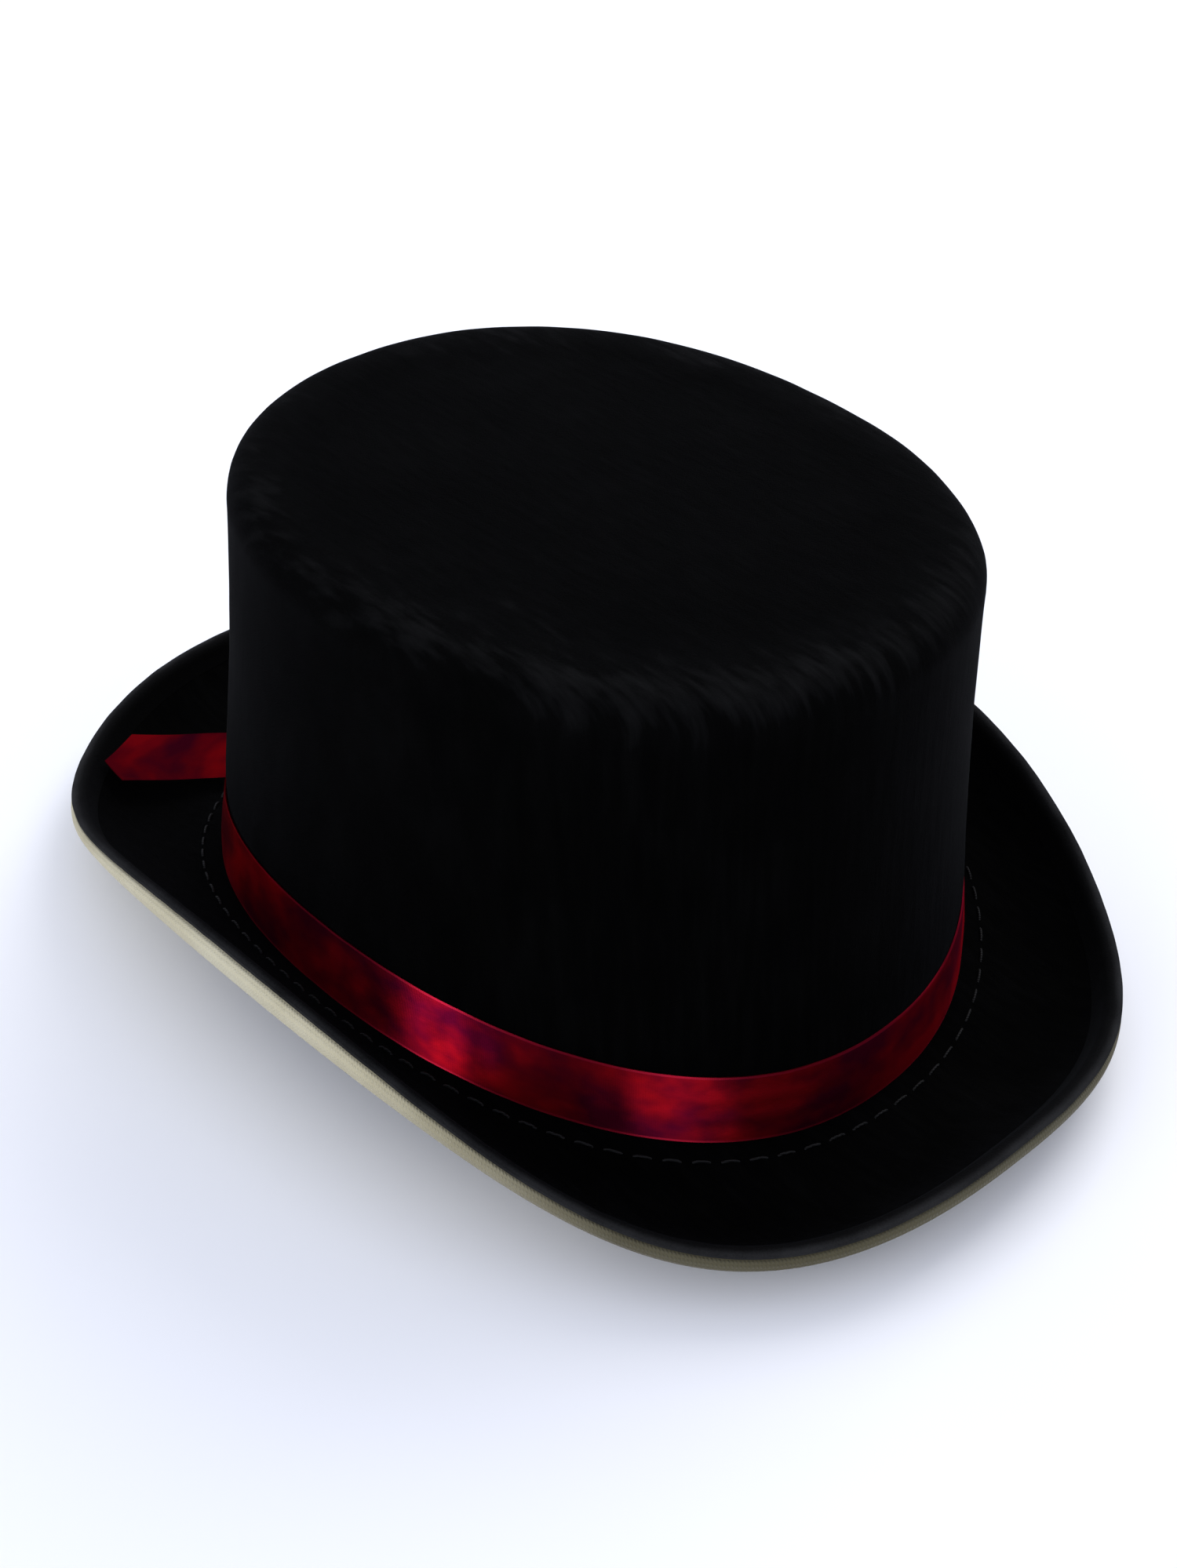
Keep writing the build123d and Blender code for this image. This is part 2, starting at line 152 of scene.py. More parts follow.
# --- sweatband and stitches ---
SWEAT_BOTTOM = -4.0
SWEAT_TOP = 28.0
SWEAT_THICKNESS = 0.9
SWEAT_GAP = 0.25
SWEAT_IN = CLOTH + GLUE + FOAM + SWEAT_GAP
SWEAT_LOOSE = 0.5
SWEAT_STITCH_UP = 2.5
JOIN_HALF_SPAN = 3.6       # degrees either side of the back
JOIN_HEIGHTS = (0.5, 27)
JOIN_THICKNESS = 0.7
JOIN_GAP = 0.15
HEADLINE_OFFSET = 5.6
HEADLINE_STITCHES = 96
SWEAT_STITCHES = 84
STITCH_DUTY = 0.62         # a stitch's share of its pitch
STITCH_SINK = 0.55         # how deep its ends go into the cloth
STITCH_PROUD = 0.15
THREAD_RADIUS = 0.3

# ---------------------------------------------------------------- camera

VIEW_AZIMUTH = -44.765
VIEW_ELEVATION = 36.951
VIEW_ROLL = 2.076
VIEW_DISTANCE = 0.6311
AIM = Vector((0.00058, 0.00096, 0.0429)) + Vector((0, MIDDLE_Y, LIFT * MM))
LENS = 53.83


def make_camera():
    azimuth, elevation, roll = (radians(a) for a in (VIEW_AZIMUTH, VIEW_ELEVATION, VIEW_ROLL))
    back = Vector((sin(azimuth) * cos(elevation), -cos(azimuth) * cos(elevation), sin(elevation)))
    right = Vector((cos(azimuth), sin(azimuth), 0))
    up = back.cross(right)
    tilted_right = right * cos(roll) + up * sin(roll)
    tilted_up = up * cos(roll) - right * sin(roll)
    data = bpy.data.cameras.new("camera")
    data.lens = LENS
    data.sensor_width = 36
    data.clip_start = 0.01
    camera = bpy.data.objects.new("camera", data)
    place = Matrix((tilted_right, tilted_up, back)).transposed().to_4x4()
    place.translation = AIM + back * VIEW_DISTANCE
    camera.matrix_world = place
    bpy.context.collection.objects.link(camera)
    bpy.context.scene.camera = camera


# ---------------------------------------------------------------- materials

class Paint:
    """A material under construction, with short calls for its nodes and links."""

    def __init__(self, name, **sockets):
        self.material = bpy.data.materials.new(name)
        self.material.use_nodes = True
        self.tree = self.material.node_tree
        self.shader = self.tree.nodes["Principled BSDF"]
        for socket, value in sockets.items():
            self.shader.inputs[socket.replace("_", " ")].default_value = value

    def node(self, kind, links=(), settings=(), **values):
        """Adds a node. links is {socket: output}, settings its properties, values its sockets."""
        made = self.tree.nodes.new("ShaderNode" + kind)
        for key, value in dict(settings).items():
            setattr(made, key, value)
        for key, value in values.items():
            made.inputs[key.replace("_", " ")].default_value = value
        for key, output in dict(links).items():
            self.tree.links.new(output, made.inputs[key])
        return made

    def cloth_place(self, scale=(1, 1, 1)):
        """Place on the cloth in metres: along it, across it, times a scale."""
        uv = self.node("UVMap", settings={"uv_map": "UVMap"})
        return self.node("Mapping", {"Vector": uv.outputs["UV"]}, Scale=scale).outputs[0]

    def body_place(self):
        return self.node("TexCoord").outputs["Object"]

    def grain(self, place, scale, detail=2.0, roughness=0.5):
        made = self.node("TexNoise", {"Vector": place}, Scale=scale, Detail=detail,
                         Roughness=roughness)
        return made.outputs["Fac"]

    def weave(self, place, scale, direction, distortion=0.0):
        made = self.node("TexWave", {"Vector": place}, {"bands_direction": direction},
                         Scale=scale, Distortion=distortion)
        return made.outputs["Fac"]

    def math(self, operation, a, b):
        made = self.node("Math", settings={"operation": operation})
        for socket, value in zip(made.inputs, (a, b)):
            if isinstance(value, (int, float)):
                socket.default_value = value
            else:
                self.tree.links.new(value, socket)
        return made.outputs[0]

    def ramp(self, factor, *stops):
        """Colour ramp through (position, colour) stops."""
        made = self.node("ValToRGB", {"Fac": factor})
        elements = made.color_ramp.elements
        while len(elements) < len(stops):
            elements.new(0.5)
        for element, (position, colour) in zip(elements, stops):
            element.position = position
            element.color = (*colour, 1)
        return made.outputs["Color"]

    def mix(self, first, second, factor, blend="MIX"):
        """Mixes a colour output with a fixed colour."""
        made = self.node("Mix", {"Factor": factor}, {"data_type": "RGBA", "blend_type": blend})
        a, b = (socket for socket in made.inputs if socket.type == "RGBA")
        self.tree.links.new(first, a)
        b.default_value = (*second, 1)
        return next(output for output in made.outputs if output.type == "RGBA")

    def part_of(self, vector, axis):
        return self.node("SeparateXYZ", {"Vector": vector}).outputs[axis]

    def span(self, value, start, end):
        """0 at start rising to 1 at end."""
        return self.node("MapRange", {"Value": value}, From_Min=start, From_Max=end).outputs[0]

    def colour(self, output):
        self.tree.links.new(output, self.shader.inputs["Base Color"])

    def roughness(self, factor, low, high):
        made = self.node("MapRange", {"Value": factor}, To_Min=low, To_Max=high)
        self.tree.links.new(made.outputs[0], self.shader.inputs["Roughness"])

    def bump(self, *layers):
        """Bumps from (height output, depth in metres) layers, one over the other."""
        normal = None
        for height, depth in layers:
            made = self.node("Bump", {"Height": height}, Strength=1.0, Distance=depth)
            if normal:
                self.tree.links.new(normal, made.inputs["Normal"])
            normal = made.outputs["Normal"]
        self.tree.links.new(normal, self.shader.inputs["Normal"])


def grey(value):
    return (value, value, value * 1.04)


def velour():
    """Deep black pile in faint streaks, with a painted highlight of lighter grey along the crown's
    shoulder.
    """
    paint = Paint("velour", Roughness=0.9, Specular_IOR_Level=0.012, Sheen_Weight=0.013,
                  Sheen_Roughness=0.2, Sheen_Tint=(0.78, 0.84, 1.0, 1))
    place = paint.body_place()
    lie = paint.node("Mapping", {"Vector": place}, Scale=(1, 0.22, 0.10)).outputs[0]
    streaks = paint.grain(lie, 430, 3)
    pile = paint.grain(place, 2400, 3, 0.7)
    patches = paint.grain(place, 28, 3)
    brushed = paint.math("ADD", paint.math("MULTIPLY", streaks, 0.5),
                         paint.math("MULTIPLY", patches, 0.5))
    # painted highlight: a band along the crown's shoulder, just inside the tip's edge, is lifted
    # towards lighter grey
    up_the_crown = paint.part_of(paint.cloth_place(), "Y")
    shoulder = paint.math("MULTIPLY", paint.span(up_the_crown, 0.100, 0.112),
                          paint.span(up_the_crown, 0.130, 0.116))
    streaks_and_painted_highlight = paint.math("ADD", brushed, paint.math("MULTIPLY", shoulder, 0.2))
    paint.colour(paint.ramp(streaks_and_painted_highlight, (0.35, grey(0.0003)), (0.5, grey(0.0006)),
                            (0.66, grey(0.0012)), (0.95, grey(0.0070))))
    paint.roughness(pile, 0.8, 1.0)
    paint.bump((streaks, 0.00025), (patches, 0.0006), (pile, 0.00025))
    return paint.material


def binding_cloth():
    """Black cloth stretched round the rim: a tighter nap, with a painted sheen of lighter grey on
    the rim's outside.
    """
    paint = Paint("binding_cloth", Roughness=0.85, Specular_IOR_Level=0.02, Sheen_Weight=0.014,
                  Sheen_Roughness=0.35, Sheen_Tint=(0.82, 0.88, 1.0, 1))
    place = paint.body_place()
    nap = paint.grain(place, 2100, 3, 0.7)
    patches = paint.grain(place, 60, 3)
    # painted sheen: the cloth turns greyer towards the rim's outer round, standing in for light
    # caught there
    lower = paint.span(paint.part_of(paint.cloth_place(), "Y"), 0.0, 0.0042)
    painted_rim_sheen = paint.math("MULTIPLY", paint.math("POWER", lower, 1.6),
                      paint.math("ADD", patches, paint.math("MULTIPLY", nap, 0.5)))
    paint.colour(paint.ramp(painted_rim_sheen, (0.0, grey(0.0006)), (0.35, grey(0.0035)),
                            (0.85, grey(0.020))))
    paint.roughness(nap, 0.7, 0.95)
    paint.bump((nap, 0.0003), (patches, 0.0006))
    return paint.material


def satin():
    """Deep red satin ribbon: its gloss runs in bars across the ribbon, over faint cross ribs."""
    paint = Paint("satin", Metallic=0.96, Specular_IOR_Level=0.2, Anisotropic=0.9,
                  Specular_Tint=(0.55, 0.05, 0.09, 1),
                  Anisotropic_Rotation=0.25, Sheen_Weight=0.008, Sheen_Roughness=0.35,
                  Sheen_Tint=(1.0, 0.16, 0.42, 1))
    along_ribbon = paint.node("Tangent", settings={"direction_type": "UV_MAP",
                                                   "uv_map": "UVMap"})
    paint.tree.links.new(along_ribbon.outputs[0], paint.shader.inputs["Tangent"])
    place = paint.cloth_place()
    across = paint.part_of(place, "Y")
    ribs = paint.weave(place, 900, "X")
    threads = paint.grain(paint.cloth_place((0.15, 1, 1)), 2600, 2)
    shade = paint.grain(paint.cloth_place((1, 1.4, 1)), 42, 3, 0.55)
    dye = paint.ramp(shade, (0.38, (0.036, 0.0006, 0.007)), (0.5, (0.080, 0.0010, 0.005)),
                     (0.62, (0.15, 0.0016, 0.0045)))
    edge = paint.math("GREATER_THAN", paint.math("ABSOLUTE", across, 0), 0.0094)
    paint.colour(paint.mix(dye, (0.20, 0.006, 0.018), paint.math("MULTIPLY", edge, 0.6)))
    paint.roughness(threads, 0.36, 0.50)
    paint.bump((ribs, 0.000004), (threads, 0.00003), (edge, 0.00012))
    return paint.material


def foam():
    """Beige knit-faced foam, a little uneven, with painted shade darkening it towards the front.
    """
    paint = Paint("foam", Roughness=0.9, Specular_IOR_Level=0.2, Sheen_Weight=0.1,
                  Sheen_Roughness=0.5, Sheen_Tint=(1.0, 0.95, 0.85, 1))
    place = paint.cloth_place()
    courses = paint.weave(place, 260, "Y", 0.6)
    wales = paint.weave(place, 330, "X", 0.6)
    knit = paint.math("MULTIPLY", courses, wales)
    fuzz = paint.grain(place, 1500, 3, 0.65)
    stain = paint.grain(paint.body_place(), 24, 4)
    mixed = paint.math("ADD", paint.math("MULTIPLY", knit, 0.18), stain)
    knit_colour = paint.ramp(mixed, (0.35, (0.41, 0.37, 0.24)), (0.6, (0.50, 0.46, 0.32)),
                       (0.85, (0.58, 0.55, 0.41)))
    # painted shade: the foam's colour is multiplied darker towards the front (-Y)
    painted_front_shade = paint.span(paint.part_of(paint.body_place(), "Y"), -0.045, -0.110)
    paint.colour(paint.mix(knit_colour, (0.17, 0.165, 0.14), painted_front_shade, "MULTIPLY"))
    paint.roughness(fuzz, 0.8, 1.0)
    paint.bump((knit, 0.00022), (fuzz, 0.00018))
    return paint.material


def twill(name, dark, light):
    """Woven tape with slanting ribs."""
    paint = Paint(name, Roughness=0.75, Specular_IOR_Level=0.3, Sheen_Weight=0.15,
                  Sheen_Roughness=0.4)
    place = paint.cloth_place((1, 1.35, 1))
    ribs = paint.weave(place, 330, "DIAGONAL", 0.3)
    fuzz = paint.grain(place, 1800, 2)
    wear = paint.grain(paint.body_place(), 40, 3)
    paint.colour(paint.ramp(paint.math("ADD", paint.math("MULTIPLY", ribs, 0.35),
                                       paint.math("MULTIPLY", wear, 0.65)),
                            (0.25, dark), (0.75, light)))
    paint.roughness(fuzz, 0.6, 0.85)
    paint.bump((ribs, 0.00016), (fuzz, 0.00008))
    return paint.material


def thread():
    """Black twisted thread."""
    paint = Paint("thread", Roughness=0.6, Specular_IOR_Level=0.08, Sheen_Weight=0.02)
    ply = paint.weave(paint.body_place(), 520, "DIAGONAL", 1.0)
    paint.colour(paint.ramp(ply, (0.2, grey(0.003)), (0.8, grey(0.009))))
    paint.roughness(ply, 0.45, 0.7)
    paint.bump((ply, 0.00008))
    return paint.material


def steel():
    """Drawn wire with faint lengthwise marks."""
    paint = Paint("steel", Metallic=1.0, Roughness=0.35, Specular_IOR_Level=0.5)
    marks = paint.grain(paint.body_place(), 900, 3)
    paint.colour(paint.ramp(marks, (0.3, (0.42, 0.42, 0.43)), (0.7, (0.60, 0.60, 0.60))))
    paint.roughness(marks, 0.25, 0.5)
    paint.bump((marks, 0.00003))
    return paint.material


MATERIALS = {
    "velour": velour(),
    "binding": binding_cloth(),
    "satin": satin(),
    "foam": foam(),
    "sweat_cloth": twill("sweat_cloth", (0.006, 0.006, 0.006), (0.022, 0.022, 0.023)),
    "thread": thread(),
    "steel": steel(),
}

# ---------------------------------------------------------------- light and floor


def area_light(name, place, aim, size, watts, colour=(1, 1, 1), only_for=None, shadow=True):
    """Rectangular lamp. only_for is a collection: then it lights nothing else."""
    data = bpy.data.lights.new(name, "AREA")
    data.shape = "RECTANGLE"
    data.size, data.size_y = size
    data.energy = watts
    data.color = colour
    light = bpy.data.objects.new(name, data)
    light.location = place
    light.rotation_euler = (Vector(place) - Vector(aim)).to_track_quat("Z", "Y").to_euler()
    bpy.context.collection.objects.link(light)
    data.use_shadow = shadow
    if only_for:
        light.light_linking.receiver_collection = only_for


def lamp_place(bearing, elevation, distance):
    level = distance * cos(radians(elevation))
    return (level * cos(radians(bearing)), level * sin(radians(bearing)),
            distance * sin(radians(elevation)))


def gloss_lamps(ribbons):
    """Two lamps that only the satin sees, for the bars of gloss on its side and front."""
    satin_only = bpy.data.collections.new("ribbons")
    for piece in ribbons:
        satin_only.objects.link(piece)
    middle = (0, 0, 0.03)
    for name, bearing, elevation, size, watts in (
            ("side_gloss", -186, -12, (0.08, 0.7), 9),
            ("front_gloss", -119, -10, (0.42, 0.7), 8)):
        area_light(name, lamp_place(bearing, elevation, 1.3), middle, size, watts,
                   only_for=satin_only, shadow=False)


def make_stage():
    mesh = bpy.data.meshes.new("floor")
    bm = bmesh.new()
    bmesh.ops.create_grid(bm, x_segments=2, y_segments=2, size=4)
    bm.to_mesh(mesh)
    floor = bpy.data.objects.new("floor", mesh)
    floor.location = (0, 0, -0.0003)
    bpy.context.collection.objects.link(floor)
    paper = Paint("paper", Roughness=0.85, Specular_IOR_Level=0.2)
    paper.colour(paper.ramp(paper.grain(paper.body_place(), 3, 2), (0.3, (0.86, 0.87, 0.90)),
                            (0.7, (0.90, 0.90, 0.92))))
    mesh.materials.append(paper.material)
    world = bpy.data.worlds.new("world")
    world.use_nodes = True
    world.node_tree.nodes["Background"].inputs[0].default_value = (0.83, 0.87, 1, 1)
    world.node_tree.nodes["Background"].inputs[1].default_value = 1.0
    bpy.context.scene.world = world
    bpy.context.scene.view_settings.view_transform = "Standard"
    middle = (0, 0, 0.05)
    area_light("window", (1.2, 0.25, 1.25), middle, (1.1, 1.1), 15, (1.0, 0.98, 0.94))
    area_light("fill", (-1.25, -0.1, 0.55), middle, (1.0, 0.6), 5, (0.95, 0.96, 1.0))


# ---------------------------------------------------------------- shape of the hat


def oval(bearing, half_width, half_front, half_back, power):
    """Radius of a squared oval at a bearing, and the oval's own angle there in radians."""
    across, lengthwise = cos(radians(bearing)), sin(radians(bearing))
    half_length = half_front if lengthwise < 0 else half_back
    x_part = (abs(across) / half_width) ** power
    y_part = (abs(lengthwise) / half_length) ** power
    own_angle = atan2(y_part ** 0.5, x_part ** 0.5)
    own_angle = own_angle if across >= 0 else pi - own_angle
    return (x_part + y_part) ** (-1 / power), own_angle if lengthwise >= 0 else -own_angle


def waves(parts, own_angle):
    mean, twice, four_times = parts
    return mean + twice * cos(2 * own_angle) + four_times * cos(4 * own_angle)


def break_height(bearing):
    """Height of the line where the crown's wall meets the brim's top."""
    own_angle = oval(bearing, TIP_HALF_WIDTH, TIP_HALF_LENGTH, TIP_HALF_LENGTH, OVAL_POWER)[1]
    return BREAK_HEIGHT + BREAK_SADDLE * cos(2 * own_angle)


def wall_radius(bearing, height, inset=0.0):
    """Radius of the crown's cloth face, less an inset, at a height."""
    base = break_height(bearing)
    rise = min(1.0, (height - base) / (SHOULDER_HEIGHT - base))
    spread = FOOT_SPREAD * (1 - rise) ** SPREAD_POWER
    half_width, half_length = TIP_HALF_WIDTH + spread, TIP_HALF_LENGTH + spread
    return oval(bearing, half_width, half_length, half_length, OVAL_POWER)[0] - inset


def wall_point(bearing, above_break, inset=0.0):
    height = break_height(bearing) + above_break
    return wall_radius(bearing, height, inset), height


def along(point, angle, distance):
    return point[0] + distance * cos(angle), point[1] + distance * sin(angle)


def brim_controls(bearing):
    """Four control points of the brim's top line at a bearing, from the break to the rim."""
    start = wall_point(bearing, 0)
    power = RIM_POWER_FRONT if sin(radians(bearing)) < 0 else RIM_POWER_BACK
    radius, own_angle = oval(bearing, RIM_HALF_WIDTH, RIM_FRONT, RIM_BACK, power)
    height = waves((RIM_HEIGHT, RIM_SADDLE, RIM_QUARTER_WAVE), own_angle)
    end = (radius, height + RIM_TILT * sin(own_angle))
    length = hypot(end[0] - start[0], end[1] - start[1])
    at_break = radians(waves(SLOPE_AT_BREAK, own_angle))
    at_rim = radians(waves(SLOPE_AT_RIM, own_angle))
    return (start, along(start, at_break, BREAK_HANDLE * length),
            along(end, at_rim, -RIM_HANDLE * length), end)


def brim_point(bearing, t, depth=0.0, controls=None):
    """Point a depth under the brim's top line, and the line's slope; t runs 0 to 1."""
    p = controls or brim_controls(bearing)
    weights = ((1 - t) ** 3, 3 * t * (1 - t) ** 2, 3 * t * t * (1 - t), t ** 3)
    s, z = (sum(w * q[i] for w, q in zip(weights, p)) for i in (0, 1))
    rates = ((1 - t) ** 2, 2 * t * (1 - t), t * t)
    ds, dz = (sum(w * (p[k + 1][i] - p[k][i]) for k, w in enumerate(rates)) for i in (0, 1))
    slope = atan2(dz, ds)
    return (s + depth * sin(slope), z - depth * cos(slope)), slope


def t_from_break(bearing, distance):
    p = brim_controls(bearing)
    return distance / (3 * hypot(p[1][0] - p[0][0], p[1][1] - p[0][1]))


def t_from_rim(bearing, distance):
    p = brim_controls(bearing)
    return 1 - distance / (3 * hypot(p[3][0] - p[2][0], p[3][1] - p[2][1]))


def steps(first, last, count):
    return [first + (last - first) * k / count for k in range(count + 1)]


def bearings(count):
    """Evenly spaced bearings, once round."""
    return [360 * k / count for k in range(count)]


def brim_run(bearing, depth, t0, t1, count):
    controls = brim_controls(bearing)
    return [brim_point(bearing, t, depth, controls)[0] for t in steps(t0, t1, count)]


def rim_arc(bearing, radius, first, last, count):
    """Round of the rim between two angles off its outermost line."""
    centre, slope = brim_point(bearing, t_from_rim(bearing, RIM_ROUND), RIM_ROUND)
    return [along(centre, slope + radians(turn), radius) for turn in steps(first, last, count)]


def spot(bearing, point):
    """Blender point, in metres, for a distance and height at a bearing."""
    s, z = point
    x, y = s * cos(radians(bearing)), s * sin(radians(bearing))
    return Vector((MIDDLE_X + x * MM, MIDDLE_Y + y * MM, z * MM))


def wobble(x, y, seed):
    """Smooth unevenness between about -1 and 1."""
    return noise.noise(Vector((x, y, seed)))


def bell(x, middle, width):
    return exp(-((x - middle) / width) ** 2)


# ---------------------------------------------------------------- mesh building


def make_piece(name, vertices, faces, uvs, slot, body, sharp=38):
    mesh = bpy.data.meshes.new(name)
    mesh.from_pydata([tuple(v) for v in vertices], [], faces)
    layer = mesh.uv_layers.new(name="UVMap")
    layer.data.foreach_set("uv", np.array(uvs, np.float32).ravel())
    bm = bmesh.new()
    bm.from_mesh(mesh)
    bmesh.ops.remove_doubles(bm, verts=bm.verts, dist=1e-7)
    bmesh.ops.dissolve_degenerate(bm, edges=bm.edges, dist=1e-8)
    bmesh.ops.recalc_face_normals(bm, faces=bm.faces)
    bm.to_mesh(mesh)
    bm.free()
    mesh.shade_smooth()
    mesh.set_sharp_from_angle(angle=radians(sharp))
    mesh.materials.append(MATERIALS[slot])
    piece = bpy.data.objects.new(name, mesh)
    bpy.context.collection.objects.link(piece)
    if body:
        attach(piece, body)
    return piece


def quads_of(columns, rows, wrap_columns, wrap_rows, index):
    """Quads over a grid, with each corner's (column, row) for its place on the cloth."""
    faces, corners = [], []
    for i in range(columns if wrap_columns else columns - 1):
        for j in range(rows if wrap_rows else rows - 1):
            square = [(i, j), (i + 1, j), (i + 1, j + 1), (i, j + 1)]
            faces.append([index(a % columns, b % rows) for a, b in square])
            corners.append(square)
    return faces, corners


def lengths_along(points, closed):
    """Distance run at each point of a line, with the closing step where it is closed."""
    line = np.vstack([points, points[:1]]) if closed else points
    return np.concatenate([[0], np.cumsum(np.linalg.norm(np.diff(line, axis=0), axis=1))])


def cloth_uv(grid, wrap_columns, wrap_rows, corners, centre_rows):
    """Each corner's place on the cloth in metres, along the columns and across the rows."""
    run = lengths_along(grid[:, grid.shape[1] // 2], wrap_columns)
    reach = lengths_along(grid[0], wrap_rows)
    offset = reach[-1] / 2 if centre_rows else 0
    return [(run[i], reach[j] - offset) for square in corners for i, j in square]


def solid_ring(name, section, slot, count):
    """Closed solid through closed sections, all the way round the hat."""
    grid = np.array([[spot(b, p) for p in section(b)] for b in bearings(count)])
    columns, rows = grid.shape[:2]
    faces, corners = quads_of(columns, rows, True, True, lambda i, j: i * rows + j)
    uvs = cloth_uv(grid, True, True, corners, False)
    return make_piece(name, grid.reshape(-1, 3), faces, uvs, slot, "hat")


def cloth_normals(grid, wrap_columns):
    if wrap_columns:
        lengthwise = np.roll(grid, -1, 0) - np.roll(grid, 1, 0)
    else:
        lengthwise = np.gradient(grid, axis=0)
    normals = np.cross(lengthwise, np.gradient(grid, axis=1))
    size = np.linalg.norm(normals, axis=2, keepdims=True)
    size[size < 1e-15] = 1
    return normals / size


def cloth_sheet(name, grid, thickness, slot, body="hat", wrap=False, centre=True, flip=False):
    """Cloth of a thickness behind a grid of points, with closed edges."""
    grid = np.array(grid)
    columns, rows = grid.shape[:2]
    normals = cloth_normals(grid, wrap) * (-1 if flip else 1)
    closed_end = np.ptp(grid[:, -1], axis=0).max() < 1e-6
    if closed_end:
        normals[:, -1] = normals[:, -2].mean(axis=0)
    back = grid - normals * thickness * MM
    size = columns * rows
    faces, corners = quads_of(columns, rows, wrap, False, lambda i, j: i * rows + j)
    behind, _ = quads_of(columns, rows, wrap, False, lambda i, j: size + i * rows + j)
    uvs = cloth_uv(grid, wrap, False, corners + corners, centre)
    faces += [face[::-1] for face in behind]
    half = len(uvs) // 2
    uvs[half:] = [uv for k in range(half, len(uvs), 4) for uv in uvs[k:k + 4][::-1]]
    edges = [((i, j), ((i + 1) % columns, j)) for j in ((0,) if closed_end else (0, rows - 1))
             for i in range(columns if wrap else columns - 1)]
    if not wrap:
        edges += [((i, j), (i, j + 1)) for i in (0, columns - 1) for j in range(rows - 1)]
    run, reach = lengths_along(grid[:, rows // 2], wrap), lengths_along(grid[0], False)
    offset = reach[-1] / 2 if centre else 0
    for (i, j), (k, m) in edges:
        faces.append([i * rows + j, k * rows + m, size + k * rows + m, size + i * rows + j])
        start, end = (run[i], reach[j] - offset), (run[k], reach[m] - offset)
        uvs += [start, end, end, start]
    vertices = np.concatenate([grid.reshape(-1, 3), back.reshape(-1, 3)])
    return make_piece(name, vertices, faces, uvs, slot, body)


# ---------------------------------------------------------------- crown


def crown_line(bearing):
    """The cover's outer face from the wall's foot up to the middle of the tip, with the angle
    that it faces at each point."""
    top = SHOULDER_HEIGHT - break_height(bearing)
    line = [(wall_point(bearing, height), 0.0) for height in steps(0, top, 44)]
    edge = wall_radius(bearing, SHOULDER_HEIGHT)
    shoulder = (edge - SHOULDER_RADIUS, SHOULDER_HEIGHT)
    for turn in steps(9, 90, 9):
        line.append((along(shoulder, radians(turn), SHOULDER_RADIUS), radians(turn)))
    reach = edge - SHOULDER_RADIUS
    return line + [((reach * (1 - share), CROWN_TOP), pi / 2) for share in steps(0.04, 1, 24)]


def soften(bearing, point, facing, edge):
    """Raises the cover's face by its pile, and by the unevenness of cloth glued over foam."""
    s, z = point
    place = Vector((s * cos(radians(bearing)), s * sin(radians(bearing)), z))
    swell = sum(high * noise.noise(place / wide) for high, wide in (SWELL_WIDE, SWELL_SMALL))
    if facing == 0:
        above_band = (z - break_height(bearing) - BAND_RISE - BAND_WIDTH) / PILE_PRESSED
        raised = min(1, max(0, above_band)) ** 0.5
        return s + raised * (PILE + swell), z
    if facing < pi / 2:
        return along(point, facing, PILE + swell)
    inside = edge - s - SHOULDER_RADIUS
    ridge = RIDGE_HEIGHT * bell(inside, RIDGE_IN, RIDGE_WIDTH)
    return s, z + PILE + 0.4 * swell + ridge - TIP_HOLLOW * min(1, max(0, inside / 20))


def crown_velour():
    grid = []
    for bearing in bearings(240):
        edge = wall_radius(bearing, SHOULDER_HEIGHT)
        grid.append([spot(bearing, soften(bearing, point, facing, edge))
                     for point, facing in crown_line(bearing)])
    piece = cloth_sheet("crown_velour", grid, CLOTH, "velour", wrap=True, centre=False)
    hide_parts("crown_cover")


def crown_foams():
    outer, inner = CLOTH + GLUE, CLOTH + GLUE + FOAM

    def wall(bearing):
        base, top = break_height(bearing) - BRIM_TOTAL, SHOULDER_HEIGHT
        out = [(wall_radius(bearing, z, outer), z) for z in steps(base, top, 16)]
        back = [(wall_radius(bearing, z, inner), z) for z in steps(top, base, 16)]
        return out + back

    def tip(bearing):
        edge = wall_radius(bearing, SHOULDER_HEIGHT)

        def face(inset, turns):
            radius = SHOULDER_RADIUS - inset
            return [(edge - inset - radius * (1 - cos(radians(turn))),
                     SHOULDER_HEIGHT + radius * sin(radians(turn))) for turn in turns]

        out, back = face(outer, steps(0, 90, 8)), face(inner, steps(90, 0, 8))
        middle = [(0, out[-1][1]), (0, back[0][1])]
        return out + middle + back

    side = solid_ring("crown_foam_wall", wall, "foam", 180)
    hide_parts("crown_wall")
    top = solid_ring("crown_foam_tip", tip, "foam", 120)
    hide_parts("crown_tip")


# ---------------------------------------------------------------- brim


def brim_velour():
    grid, rows = [], 26
    for bearing in bearings(300):
        last = t_from_rim(bearing, RIM_ROUND + BINDING_REACH - TUCK)
        controls = brim_controls(bearing)
        column = []
        for k, t in enumerate(steps(0, last, rows)):
            swell = BRIM_SWELL * wobble(bearing / 14, t * 2.2, 5) * sin(pi * k / rows)
            if k == rows:
                swell = -TUCK / 2
            column.append(spot(bearing, brim_point(bearing, t, -swell, controls)[0]))
        grid.append(column)
    piece = cloth_sheet("brim_velour", grid, CLOTH, "velour", wrap=True, centre=False, flip=True)
    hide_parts("brim_cover")


